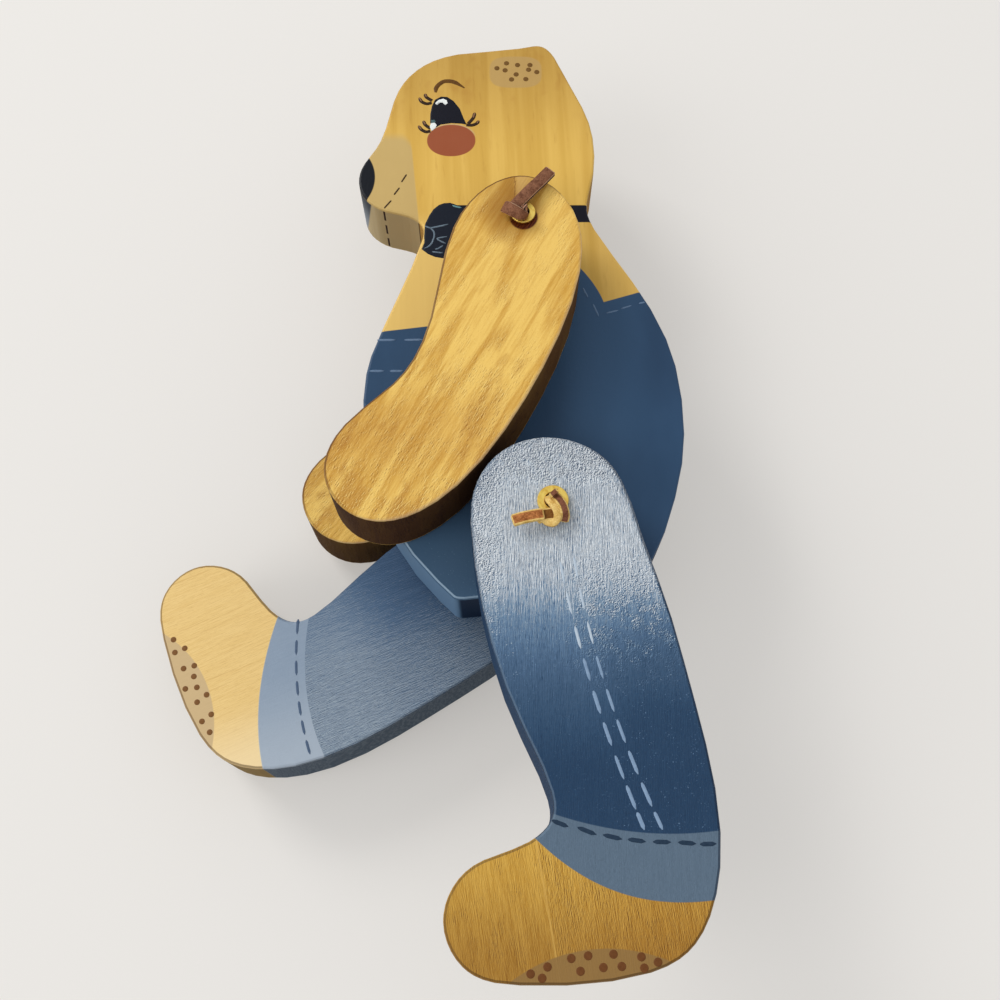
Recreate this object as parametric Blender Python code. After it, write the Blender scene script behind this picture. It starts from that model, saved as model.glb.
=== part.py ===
"""A jointed wooden bear figure: five cut-out boards laced together at the shoulder and the hip.

The bear lies on its right side, as photographed: +Z is up, +Y points to the head and the bear faces -X.
Lengths in the functions are millimetres; objects are made in metres.
"""

import math

import bpy
import numpy as np

MM = 0.001

# Driving dimensions
BOARD_THICK = 19.0
GAP = 0.3
EDGE_ROUND = 0.6
WASHER_THICK = 0.8
WASHER_BEVEL = 0.12
LACE_PLAY = 0.3
HOLE_PLAY = 0.4
HIP = np.array([0.0, 0.0])
SHOULDER = np.array([-6.3, 76.0])

# The left limbs lie as drawn; the right ones are turned about the same pins
RIGHT_ARM_TURN = -10.2
RIGHT_LEG_TURN = -70.2
RIGHT_LEG_SLIP = np.array([2.2, 4.0])

# Width and thickness of each lace, and the width of its washers' rings
SHOULDER_WIDE, SHOULDER_THICK, SHOULDER_RING = 2.3, 1.1, 1.5
HIP_WIDE, HIP_THICK, HIP_RING = 2.7, 1.7, 1.7

# Outline points run anticlockwise, from the top of each board, measured from its own pin
BODY_POINTS = [
    (-0.2, 143.7), (-5.0, 143.4), (-14.0, 142.1), (-22.0, 141.4), (-33.0, 137.5), (-40.0, 129.5),
    (-43.0, 118.5), (-46.0, 109.5), (-49.7, 103.0), (-50.0, 97.0), (-47.8, 92.8), (-42.0, 89.3),
    (-36.5, 87.8), (-32.8, 84.8), (-33.2, 79.0), (-36.5, 69.5), (-42.5, 54.0), (-45.6, 44.5),
    (-46.6, 32.0), (-43.5, 12.0), (-35.0, -4.5), (-30.1, -10.6), (-26.9, -13.9), (-23.9, -16.8),
    (-22.9, -17.6), (-21.7, -17.9), (-17.6, -17.6), (-6.0, -17.8), (6.0, -18.2), (18.0, -15.5),
    (25.0, -7.5), (30.5, 6.0), (34.0, 22.5), (34.2, 31.0), (32.2, 47.0), (28.5, 57.5), (23.5, 67.0),
    (14.6, 81.5), (11.3, 90.0), (12.8, 98.5), (13.8, 108.0), (12.0, 120.0), (8.0, 129.5), (4.4, 137.8),
    (2.4, 141.5),
]
ARM_POINTS = [
    (0.5, 11.5), (-10.0, 7.5), (-16.5, -1.5), (-20.0, -14.0), (-23.5, -32.5), (-29.5, -44.5),
    (-43.0, -58.0), (-46.4, -68.0), (-41.5, -77.5), (-33.5, -80.6), (-20.5, -76.0), (-11.0, -67.0),
    (-2.0, -54.0), (8.0, -34.5), (13.4, -18.5), (14.0, -3.0), (8.5, 7.5),
]
LEG_POINTS = [
    (-2.0, 16.0), (-12.7, 11.7), (-18.0, 3.0), (-18.4, -9.0), (-15.2, -28.0), (-8.6, -48.0),
    (-2.2, -62.0), (-1.2, -70.0), (-5.5, -74.5), (-18.5, -80.2), (-23.6, -90.0), (-18.5, -99.9),
    (-7.0, -102.5), (13.0, -101.3), (26.0, -96.2), (32.5, -84.5), (33.6, -66.0), (29.2, -41.5),
    (24.4, -21.5), (20.0, -7.5), (12.5, 10.5),
]

# Centre lines of the strips in each near knot: the one that comes up through the washer, the loop that it
# makes round the tail, and the tail. They are measured from the pin and the washer's face, in corner-to-corner
# sizes of the lace. The last number is the strip's roll off its flat side in degrees, where it is set
SHOULDER_KNOT = [
    (0.0, 0.0, -0.47, None), (0.0, -0.02, -0.16, None), (0.0, -0.14, 0.2, None),
    (0.02, -0.43, 0.53, None), (-0.02, -0.75, 0.8, None), (-0.29, -0.92, 1.02, -40.0),
    (-0.71, -0.82, 1.08, -35.0), (-1.14, -0.47, 0.94, -28.0), (-1.47, -0.08, 0.63, None),
    (-1.57, 0.16, 0.31, None),
]
SHOULDER_TAIL = [
    (-1.26, -0.31, 0.37, 0.0), (-0.98, 0.39, 0.37, 0.0), (-0.47, 1.14, 0.43, 0.0),
    (0.59, 2.16, 0.71, 0.0), (2.75, 3.61, 1.14, 0.0),
]
HIP_KNOT = [
    (0.0, 0.0, -0.31, None), (0.0, 0.0, 0.13, None), (0.03, 0.0, 0.47, None), (0.17, -0.19, 0.8, -8.0),
    (0.42, -0.56, 0.92, -15.0), (0.61, -0.94, 0.78, -20.0), (0.66, -1.25, 0.5, None),
    (0.61, -1.41, 0.22, None),
]
HIP_LOOP = [
    (-0.31, -0.06, 0.53, -90.0), (-0.05, -0.31, 0.55, -90.0), (0.19, -0.72, 0.56, -90.0),
    (0.33, -1.19, 0.55, -90.0), (0.22, -1.63, 0.49, -90.0), (-0.13, -1.86, 0.42, -90.0),
    (-0.5, -1.82, 0.36, -90.0), (-0.78, -1.6, 0.27, -90.0),
]
HIP_TAIL = [
    (0.31, -1.16, 0.41, 0.0), (0.0, -1.19, 0.47, 0.0), (-0.72, -1.35, 0.63, 0.0),
    (-1.76, -1.49, 0.66, 0.0), (-2.85, -1.79, 0.63, 0.0),
]


def smooth_curve(points, closed):
    """Tangent at each point of the smooth curve through them, and each span's parameter length."""
    points = np.array(points, float)
    count = len(points)
    spans = count if closed else count - 1
    ahead = np.roll(points, -1, 0) - points
    length = np.linalg.norm(ahead, axis=1)
    rows = np.zeros((count, count))
    right = np.zeros_like(points)
    for i in range(count):
        before, after = (i - 1) % count, i
        if not closed and i in (0, count - 1):
            side = after if i == 0 else before
            rows[i, i] = 2.0
            rows[i, 1 if i == 0 else count - 2] = 1.0
            right[i] = 3.0 * ahead[side] / length[side]
            continue
        rows[i, (i - 1) % count] += 1.0 / length[before]
        rows[i, i] += 2.0 / length[before] + 2.0 / length[after]
        rows[i, (i + 1) % count] += 1.0 / length[after]
        right[i] = 3.0 * (ahead[before] / length[before] ** 2 + ahead[after] / length[after] ** 2)
    return points, np.linalg.solve(rows, right), length[:spans]


def sample_curve(points, closed, fine=24):
    """Many points along the smooth curve through the given ones."""
    points, slope, length = smooth_curve(points, closed)
    found = []
    for i, span in enumerate(length):
        j = (i + 1) % len(points)
        for t in np.arange(fine) / fine:
            a = 2 * t**3 - 3 * t**2 + 1
            b = (t**3 - 2 * t**2 + t) * span
            c = 3 * t**2 - 2 * t**3
            d = (t**3 - t**2) * span
            found.append(a * points[i] + b * slope[i] + c * points[j] + d * slope[j])
    if not closed:
        found.append(points[-1])
    return np.array(found)


def thin_out(line, turn, longest):
    """Keeps a point where the line has turned by the angle, or run the length, since the last kept."""
    kept = [line[0]]
    turned = 0.0
    for before, here, after in zip(line[:-2], line[1:-1], line[2:]):
        one, two = here - before, after - here
        cosine = one @ two / (np.linalg.norm(one) * np.linalg.norm(two))
        turned += math.degrees(math.acos(min(1.0, max(-1.0, cosine))))
        if turned > turn or np.linalg.norm(here - kept[-1]) > longest:
            kept.append(here)
            turned = 0.0
    kept.append(line[-1])
    return np.array(kept)


def outline(points):
    """Closed outline of a board, with points no closer than its bends need."""
    line = sample_curve(points, closed=True)
    return thin_out(np.vstack([line, line[:1]]), turn=7.5, longest=9.0)[:-1]


def turned(points, degrees):
    angle = math.radians(degrees)
    spin = np.array([[math.cos(angle), -math.sin(angle)], [math.sin(angle), math.cos(angle)]])
    return points @ spin.T


def tint(node, colour, roughness, metallic):
    material = bpy.data.materials.new(node.name)
    material.use_nodes = True
    shader = material.node_tree.nodes["Principled BSDF"]
    shader.inputs["Base Color"].default_value = (*colour, 1.0)
    shader.inputs["Roughness"].default_value = roughness
    shader.inputs["Metallic"].default_value = metallic
    node.data.materials.append(material)


def make_node(name, points, faces, pivot, smooth=30.0):
    """A mesh object with its origin on the pivot; points and pivot are in millimetres."""
    mesh = bpy.data.meshes.new(name)
    mesh.from_pydata([tuple(p) for p in (np.array(points) - pivot) * MM], [], faces)
    mesh.validate()
    mesh.shade_smooth()
    mesh.set_sharp_from_angle(angle=math.radians(smooth))
    node = bpy.data.objects.new(name, mesh)
    node.location = tuple(np.array(pivot) * MM)
    bpy.context.scene.collection.objects.link(node)
    return node


def join_rings(rings, count):
    """Faces round a stack of rings, with both ends closed."""
    faces = []
    for ring in range(rings - 1):
        for i in range(count):
            j = (i + 1) % count
            low, high = ring * count, (ring + 1) * count
            faces.append((low + i, low + j, high + j, high + i))
    faces.append(tuple(range(count))[::-1])
    faces.append(tuple((rings - 1) * count + i for i in range(count)))
    return faces


def cylinder(name, at, low, high, radius, sides=32):
    """A helper solid that only cuts."""
    angles = np.arange(sides) * 2 * math.pi / sides
    circle = np.c_[at[0] + radius * np.cos(angles), at[1] + radius * np.sin(angles)]
    rings = [np.c_[circle, np.full(sides, z)] for z in (low, high)]
    node = make_node(name, np.vstack(rings), join_rings(2, sides), np.zeros(3))
    node.hide_render = True
    node.display_type = "WIRE"
    return node


def drill(node, name, at, low, high, radius):
    cutter = cylinder(name, at, low - EDGE_ROUND, high + EDGE_ROUND, radius)
    cut = node.modifiers.new(name, "BOOLEAN")
    cut.operation = "DIFFERENCE"
    cut.solver = "EXACT"
    cut.object = cutter


def board(name, line, low, pivot, holes, colour):
    """A board sawn to the outline, its long edges eased, with a round hole for each lace."""
    rings = [np.c_[line, np.full(len(line), z)] for z in (low, low + BOARD_THICK)]
    node = make_node(name, np.vstack(rings), join_rings(2, len(line)), pivot)
    ease = node.modifiers.new("eased_edges", "BEVEL")
    ease.width = EDGE_ROUND * MM
    ease.segments = 2
    ease.limit_method = "ANGLE"
    ease.angle_limit = math.radians(60.0)
    ease.use_clamp_overlap = False
    for label, at, diameter in holes:
        drill(node, f"{name}_{label}_cutter", at, low, low + BOARD_THICK, diameter / 2)
    tint(node, colour, 0.5, 0.0)
    return node


def washer(name, at, low, fit):
    """A flat brass ring, turned round its own axis."""
    count = 28
    bevel = WASHER_BEVEL
    inner, outer = fit.bore / 2, fit.bore / 2 + fit.ring
    section = [
        (inner, bevel), (inner + bevel, 0.0), (outer - bevel, 0.0), (outer, bevel),
        (outer, WASHER_THICK - bevel), (outer - bevel, WASHER_THICK), (inner + bevel, WASHER_THICK),
        (inner, WASHER_THICK - bevel),
    ]
    points = []
    for step in range(count):
        angle = 2 * math.pi * step / count
        points += [(at[0] + r * math.cos(angle), at[1] + r * math.sin(angle), low + z) for r, z in section]
    size = len(section)
    faces = []
    for step in range(count):
        for i in range(size):
            j = (i + 1) % size
            here, there = step * size, (step + 1) % count * size
            faces.append((here + i, there + i, there + j, here + j))
    node = make_node(name, points, faces, np.array([*at, low + WASHER_THICK / 2]))
    tint(node, (0.72, 0.55, 0.22), 0.3, 1.0)
    return node


class Fit:
    """One lace and what it passes through: washer bores and board holes follow the lace's size."""

    def __init__(self, wide, thick, ring):
        self.wide, self.thick, self.ring = wide, thick, ring
        self.across = math.hypot(wide, thick)
        self.bore = self.across + 2 * LACE_PLAY
        self.hole = self.bore + 2 * HOLE_PLAY


def knot_line(fit, drawn, low=None):
    """Points and rolls of a drawn line, standing on the near washer, or seen from behind under the far one."""
    line = np.array([point[:3] for point in drawn]) * fit.across
    rolls = [point[3] for point in drawn]
    if low is None:
        return line * [1.0, -1.0, -1.0], rolls
    return line + [0.0, 0.0, low], rolls


def frames_along(line, marks):
    """Side vectors that twist as little as they can between marks of (index, roll off level in degrees)."""
    ahead = np.gradient(line, axis=0)
    ahead /= np.linalg.norm(ahead, axis=1)[:, None]
    level = np.array([0.0, 0.0, 1.0])
    side = np.cross(ahead[0], (1.0, 0.0, 0.0) if abs(ahead[0][0]) < 0.9 else (0.0, 1.0, 0.0))
    sides = [side / np.linalg.norm(side)]
    for direction in ahead[1:]:
        side = sides[-1] - direction * (direction @ sides[-1])
        sides.append(side / np.linalg.norm(side))
    misses = []
    for index, roll in marks:
        direction = ahead[index]
        flat = np.cross(level, direction)
        flat /= np.linalg.norm(flat)
        wanted = flat * math.cos(math.radians(roll)) + np.cross(direction, flat) * math.sin(math.radians(roll))
        miss = math.atan2(np.cross(sides[index], wanted) @ direction, sides[index] @ wanted)
        if misses:
            miss += math.pi * round((misses[-1] - miss) / math.pi)
        misses.append(miss)
    along = np.r_[0.0, np.cumsum(np.linalg.norm(np.diff(line, axis=0), axis=1))]
    twists = np.interp(along, [along[index] for index, _ in marks], misses)
    out = [s * math.cos(t) + np.cross(d, s) * math.sin(t) for s, d, t in zip(sides, ahead, twists)]
    return ahead, np.array(out)


def lace_section(wide, thick):
    """A flat strip's section with eased corners, as (across, through) pairs."""
    ease = 0.22 * thick
    half_wide, half_thick = wide / 2, thick / 2
    corners = [(1, 1), (-1, 1), (-1, -1), (1, -1)]
    pairs = []
    for x, y in corners:
        one = (x * half_wide, y * (half_thick - ease))
        two = (x * (half_wide - ease), y * half_thick)
        pairs += [one, two] if x * y > 0 else [two, one]
    return pairs


def strand(fit, points, rolls):
    """Centre line and section rings of a strip along the smooth curve through the points."""
    fine = 16
    line = sample_curve(points, closed=False, fine=fine)
    kept = thin_out(line, turn=9.0, longest=8.0)
    marks = [(int(np.linalg.norm(kept - line[i * fine], axis=1).argmin()), roll)
             for i, roll in enumerate(rolls) if roll is not None]
    ahead, sides = frames_along(kept, marks)
    section = lace_section(fit.wide, fit.thick)
    rings = []
    for centre, direction, side in zip(kept, ahead, sides):
        through = np.cross(direction, side)
        rings.append([centre + side * a + through * b for a, b in section])
    return kept, np.array(rings)


def lace_strands(fit, span, knot, others):
    """The strip from knot to knot, then the other strips of both, with the far washer's outer face at height 0."""
    near, near_rolls = knot_line(fit, knot, span)
    far, far_rolls = knot_line(fit, knot)
    run_back = [None if roll is None else -roll for roll in far_rolls[::-1]]
    found = [strand(fit, np.vstack([far[::-1], near]), run_back + near_rolls)]
    for other in others:
        found.append(strand(fit, *knot_line(fit, other, span)))
        found.append(strand(fit, *knot_line(fit, other)))
    return found


def lace(name, at, base, strands):
    """One leather lace, knotted on both sides, as a single solid."""
    place = np.array([*at, base])
    highs = [rings[:, :, 2].max() for _, rings in strands]
    lows = [rings[:, :, 2].min() for _, rings in strands]
    pivot = place + [0.0, 0.0, (max(highs) + min(lows)) / 2]
    nodes = []
    length = 0.0
    for index, (line, rings) in enumerate(strands):
        faces = join_rings(len(rings), rings.shape[1])
        label = f"{name}_strip_{index}" if index else name
        nodes.append(make_node(label, rings.reshape(-1, 3) + place, faces, pivot, 50.0))
        length += np.linalg.norm(np.diff(line, axis=0), axis=1).sum()
    for strip in nodes[1:]:
        strip.hide_render = True
        strip.display_type = "WIRE"
        join = nodes[0].modifiers.new(strip.name, "BOOLEAN")
        join.operation = "UNION"
        join.solver = "EXACT"
        join.object = strip
    tint(nodes[0], (0.33, 0.16, 0.08), 0.6, 0.0)
    print(f"{name}: {length:.1f} mm long")
    return nodes[0]


def clear_scene():
    for item in list(bpy.data.objects):
        bpy.data.objects.remove(item)


def build():
    clear_scene()
    arm, leg, body = outline(ARM_POINTS), outline(LEG_POINTS), outline(BODY_POINTS)
    left_arm = arm + SHOULDER
    right_arm = turned(arm, RIGHT_ARM_TURN) + SHOULDER
    left_leg = leg + HIP
    right_leg = turned(leg, RIGHT_LEG_TURN) + RIGHT_LEG_SLIP + HIP

    # The laces come first: the far knots' depth sets how high everything lies
    washer_seat = WASHER_THICK + GAP
    span = 3 * BOARD_THICK + 2 * GAP + 2 * washer_seat
    shoulder_fit = Fit(SHOULDER_WIDE, SHOULDER_THICK, SHOULDER_RING)
    hip_fit = Fit(HIP_WIDE, HIP_THICK, HIP_RING)
    shoulder_lace = lace_strands(shoulder_fit, span, SHOULDER_KNOT, [SHOULDER_TAIL])
    hip_lace = lace_strands(hip_fit, span, HIP_KNOT, [HIP_LOOP, HIP_TAIL])
    far_face = -min(rings[:, :, 2].min() for _, rings in shoulder_lace + hip_lace)
    low_right = far_face + washer_seat
    low_body = low_right + BOARD_THICK + GAP
    low_left = low_body + BOARD_THICK + GAP

    # The frame's origin is under the middle of everything
    flat = np.vstack([left_arm, right_arm, left_leg, right_leg, body])
    shift = -(flat.min(0) + flat.max(0)) / 2
    shoulder, hip = SHOULDER + shift, HIP + shift
    print("shoulder", np.round(shoulder, 3), "hip", np.round(hip, 3),
          "board undersides", np.round([low_right, low_body, low_left], 3))

    honey, blue = (0.72, 0.47, 0.16), (0.035, 0.075, 0.13)
    at_shoulder, at_hip = ("shoulder", shoulder, shoulder_fit.hole), ("hip", hip, hip_fit.hole)
    board("right_arm", right_arm + shift, low_right, np.array([*shoulder, low_right]), [at_shoulder], honey)
    board("right_leg", right_leg + shift, low_right, np.array([*hip, low_right]), [at_hip], blue)
    board("body_board", body + shift, low_body, np.array([0.0, 0.0, low_body]), [at_shoulder, at_hip], honey)
    board("left_arm", left_arm + shift, low_left, np.array([*shoulder, low_left]), [at_shoulder], honey)
    board("left_leg", left_leg + shift, low_left, np.array([*hip, low_left]), [at_hip], blue)
    for word, at, fit in (("shoulder", shoulder, shoulder_fit), ("hip", hip, hip_fit)):
        washer(f"left_{word}_washer", at, low_left + BOARD_THICK + GAP, fit)
        washer(f"right_{word}_washer", at, far_face, fit)
    lace("shoulder_lace", shoulder, far_face, shoulder_lace)
    lace("hip_lace", hip, far_face, hip_lace)


build()
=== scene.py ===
import math

import bmesh
import bpy
import numpy as np
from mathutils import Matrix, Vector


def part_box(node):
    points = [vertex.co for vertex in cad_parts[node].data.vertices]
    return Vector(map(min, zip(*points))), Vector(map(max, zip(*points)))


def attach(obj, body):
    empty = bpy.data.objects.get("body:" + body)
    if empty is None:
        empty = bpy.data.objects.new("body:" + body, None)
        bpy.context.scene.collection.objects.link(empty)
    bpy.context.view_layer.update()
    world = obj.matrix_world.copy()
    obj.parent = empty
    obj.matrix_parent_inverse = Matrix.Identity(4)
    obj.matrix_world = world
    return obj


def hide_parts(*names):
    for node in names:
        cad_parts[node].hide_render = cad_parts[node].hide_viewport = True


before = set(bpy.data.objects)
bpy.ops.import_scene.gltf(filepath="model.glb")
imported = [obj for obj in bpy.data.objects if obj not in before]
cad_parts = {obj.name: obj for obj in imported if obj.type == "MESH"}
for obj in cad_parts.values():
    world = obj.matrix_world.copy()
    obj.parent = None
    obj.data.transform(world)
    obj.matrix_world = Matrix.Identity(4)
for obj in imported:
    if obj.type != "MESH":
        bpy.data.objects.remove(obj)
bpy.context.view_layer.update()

# Where it lies
# The bear lies on its right side on a pale floor, looked at from above its feet.
# Daylight falls from the head end and from the left, so the walls towards the feet stay dark.


class Coat:
    """A number, a colour or a place on its way through a finish. Sums on it add Math nodes."""

    def __init__(self, socket):
        self.socket = socket

    def node(self, kind, settings=None, sockets=None, out=None):
        """Any other node: its settings first, then the values or links of its sockets."""
        tree = self.socket.id_data
        made = tree.nodes.new(kind)
        for name, value in (settings or {}).items():
            if name == "stops":
                marks = made.color_ramp.elements
                while len(marks) < len(value):
                    marks.new(1.0)
                for mark, (at, colour) in zip(marks, value):
                    mark.position = at
                    mark.color = colour
            else:
                setattr(made, name, value)
        for name, value in (sockets or {}).items():
            fitting = [made.inputs[name]] if isinstance(name, int) else [
                socket for socket in made.inputs if socket.name == name and socket.enabled]
            if isinstance(value, Coat):
                tree.links.new(value.socket, fitting[0])
            else:
                fitting[0].default_value = value
        found = [socket for socket in made.outputs if socket.enabled and out in (None, socket.name)]
        return Coat(found[0])

    def sum(self, operation, *others):
        return self.node("ShaderNodeMath", {"operation": operation}, dict(enumerate(others)))

    def __add__(self, other):
        return self.sum("ADD", self, other)

    def __radd__(self, other):
        return self.sum("ADD", other, self)

    def __sub__(self, other):
        return self.sum("SUBTRACT", self, other)

    def __rsub__(self, other):
        return self.sum("SUBTRACT", other, self)

    def __mul__(self, other):
        return self.sum("MULTIPLY", self, other)

    def __rmul__(self, other):
        return self.sum("MULTIPLY", other, self)

    def __pow__(self, other):
        return self.sum("POWER", self, other)

    def __abs__(self):
        return self.sum("ABSOLUTE", self)

    def __or__(self, other):
        """The greater of two masks or edges."""
        return self.sum("MAXIMUM", self, other)

    def __and__(self, other):
        """The smaller of two masks or edges."""
        return self.sum("MINIMUM", self, other)


GLOSS = 0.012


def tint(red, green, blue):
    """A paint or stain by its 0 to 255 numbers on a colour chart, less the sky's gloss that lies on it."""
    chart = np.array([red, green, blue]) / 255
    light = np.where(chart <= 0.04045, chart / 12.92, ((chart + 0.055) / 1.055) ** 2.4)
    return (*np.maximum(light - GLOSS, 0.0008).tolist(), 1.0)


def begin_finish(name):
    """A new material, its shader, and the place on the board in metres."""
    finish = bpy.data.materials.new(name)
    finish.use_nodes = True
    shader = finish.node_tree.nodes["Principled BSDF"]
    place = Coat(shader.outputs[0]).node("ShaderNodeTexCoord", out="Object")
    return finish, shader, place


def feed(shader, **sockets):
    """Links or sets the sockets of a shader: Base_Color stands for Base Color."""
    for name, value in sockets.items():
        socket = shader.inputs[name.replace("_", " ")]
        if isinstance(value, Coat):
            socket.id_data.links.new(value.socket, socket)
        else:
            socket.default_value = value


def fade(value, low, high):
    """0 at low, 1 at high and a soft step between, whichever of the two is greater."""
    return value.node("ShaderNodeMapRange", {"interpolation_type": "SMOOTHSTEP"},
                      {"Value": value, "From Min": low, "From Max": high})


def laid_over(mask, under, paint):
    """Paint laid over a colour where the mask is 1."""
    return mask.node("ShaderNodeMix", {"data_type": "RGBA"}, {"Factor": mask, "A": under, "B": paint})


def darker(colour, mask, tone):
    """The colour multiplied by a tone where the mask is 1."""
    return mask.node("ShaderNodeMix", {"data_type": "RGBA", "blend_type": "MULTIPLY"},
                     {"Factor": mask, "A": colour, "B": tone})


floor_mesh = bpy.data.meshes.new("floor")
reach, steps = 3.0, 6
marks = np.linspace(-reach, reach, steps)
floor_mesh.from_pydata([(x, y, 0.0) for y in marks for x in marks], [],
                       [(i + j * steps, i + 1 + j * steps, i + 1 + (j + 1) * steps, i + (j + 1) * steps)
                        for j in range(steps - 1) for i in range(steps - 1)])
floor = bpy.data.objects.new("floor", floor_mesh)
bpy.context.scene.collection.objects.link(floor)
floor_finish, floor_shader, floor_place = begin_finish("pale_floor")
rays = [floor_place.node("ShaderNodeLightPath", out=f"Is {name} Ray")
        for name in ("Camera", "Glossy", "Transmission")]
seen = rays[0] | rays[1] | rays[2]

# The camera and the brass see a bright floor, and the light that it throws on the bear is a plain grey
FLOOR_BOUNCE = (0.30, 0.29, 0.28, 1.0)
FLOOR_SEEN = (0.462, 0.445, 0.42, 1.0)
FLOOR_GLOW = (0.360, 0.346, 0.328, 1.0)
feed(floor_shader, Base_Color=laid_over(seen, FLOOR_BOUNCE, FLOOR_SEEN), Roughness=0.9,
     Emission_Color=laid_over(seen, (0.0, 0.0, 0.0, 1.0), FLOOR_GLOW))
floor_shader.inputs["Emission Strength"].default_value = 1.0
floor_shader.inputs["Specular IOR Level"].default_value = 0.0
floor.data.materials.append(floor_finish)

CAMERA_PLACE = (0.020121, -0.112002, 0.320683)
CAMERA_TILT = math.radians(19.55)
CAMERA_LENS = 43.2
camera = bpy.data.objects.new("camera", bpy.data.cameras.new("camera"))
camera.location = CAMERA_PLACE
camera.rotation_euler = (CAMERA_TILT, 0.0, 0.0)
camera.data.lens = CAMERA_LENS
camera.data.sensor_width = 36.0
camera.data.clip_start = 0.01
bpy.context.scene.collection.objects.link(camera)
bpy.context.scene.camera = camera
bpy.context.scene.view_settings.view_transform = "Standard"


def soft_lamp(name, towards, far, wide, power):
    """A square lamp out in a direction from the bear's middle, turned to face it."""
    lamp = bpy.data.objects.new(name, bpy.data.lights.new(name, "AREA"))
    lamp.data.shape = "RECTANGLE"
    lamp.data.size, lamp.data.size_y = wide
    lamp.data.energy = power
    heading = np.array(towards) / np.linalg.norm(towards)
    lamp.location = heading * far
    lamp.rotation_mode = "QUATERNION"
    lamp.rotation_quaternion = lamp.location.normalized().to_track_quat("Z", "Y")
    bpy.context.scene.collection.objects.link(lamp)


soft_lamp("head_end_daylight", towards=(-1.0, 0.95, 1.15), far=2.2, wide=(0.8, 0.8), power=18.5)
soft_lamp("side_daylight", towards=(-1.0, -0.45, 0.9), far=2.2, wide=(1.2, 1.2), power=10.0)
sky = bpy.data.worlds.new("sky")
sky.use_nodes = True
bpy.context.scene.world = sky
sky.node_tree.nodes["Background"].inputs["Color"].default_value = (0.93, 0.96, 1.0, 1.0)
sky.node_tree.nodes["Background"].inputs["Strength"].default_value = 0.70

# Body board
# One 19 mm board with the head, chest and back sawn in one piece, sanded, stained honey and varnished.
# The overalls, the muzzle, the ear and the neck ribbon are brushed on; the bare sawn walls are painted darker.
HIP = np.array([32.140, -20.727]) / 1000
SHOULDER = np.array([25.840, 55.273]) / 1000
BOARD_THICK = 0.019


def from_pin(place, pin, turn=0.0):
    """The place in mm from a pin, turned back to the way the board was drawn, with its x, y and z."""
    spot = place.node("ShaderNodeVectorMath", {"operation": "SUBTRACT"}, {0: place, 1: (*pin, 0.0)})
    spot = place.node("ShaderNodeVectorMath", {"operation": "SCALE"}, {0: spot, "Scale": 1000.0})
    if turn:
        spot = place.node("ShaderNodeVectorRotate", {"rotation_type": "Z_AXIS"},
                          {"Vector": spot, "Angle": math.radians(turn)})
    along = [place.node("ShaderNodeSeparateXYZ", None, {0: spot}, out=axis) for axis in "XYZ"]
    return spot, *along


def grain(spot, lean, across, along, detail=3.0, roughness=0.6, warp=0.0):
    """Noise drawn out along the grain, which leans from the board's length. Sizes are in mm."""
    lie = spot.node("ShaderNodeVectorRotate", {"rotation_type": "Z_AXIS"},
                    {"Vector": spot, "Angle": math.radians(-lean)})
    fit = spot.node("ShaderNodeVectorMath", {"operation": "MULTIPLY"},
                    {0: lie, 1: (1 / across, 1 / along, 1 / along)})
    return spot.node("ShaderNodeTexNoise", None, {"Vector": fit, "Scale": 1.0, "Detail": detail,
                                                  "Roughness": roughness, "Distortion": warp})


def ridges(spot, lean, across, along, detail=2.0, roughness=0.6, warp=0.0):
    """Fine ridges as light shows them: above 0 towards the head and left, below 0 on the other side."""
    lit = spot.node("ShaderNodeVectorMath", {"operation": "ADD"},
                    {0: spot, 1: (-0.45 * across, 0.35 * across, 0.0)})
    return (grain(lit, lean, across, along, detail, roughness, warp)
            - grain(spot, lean, across, along, detail, roughness, warp))


def wall_of(z, low, soft=0.5):
    """1 on the sawn walls of a board and 0 on its two faces."""
    half = BOARD_THICK * 1000 / 2
    return fade(abs(z - (low * 1000 + half)), half - 0.5, half - 0.5 - soft)


def edge_of(place):
    """A board's eased edges, the thin line where they leave its face, and how far the place faces right
    and how far towards the head.
    """
    facing = place.node("ShaderNodeTexCoord", out="Normal")
    right, head, up = [place.node("ShaderNodeSeparateXYZ", None, {0: facing}, out=axis) for axis in "XYZ"]
    edge = fade(abs(up), 0.975, 0.90) * fade(abs(up), 0.05, 0.22)
    return edge, fade(abs(up), 0.985, 0.97) * fade(abs(up), 0.88, 0.93), right, head


def relief(place, height, strength, depth):
    """A bump of a height in the finish, at its strength, over a depth in metres."""
    return place.node("ShaderNodeBump", None, {"Height": height, "Strength": strength, "Distance": depth})


def oval(x, y, middle, half, power=2.0):
    """1 on the rim of an oval, less inside it. A power above 2 makes its sides straighter."""
    return abs((x - middle[0]) * (1 / half[0])) ** power + abs((y - middle[1]) * (1 / half[1])) ** power


def put_on(name, finish):
    """Gives a part of the CAD model its finish."""
    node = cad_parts[name]
    node.data.materials.clear()
    node.data.materials.append(finish)


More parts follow.
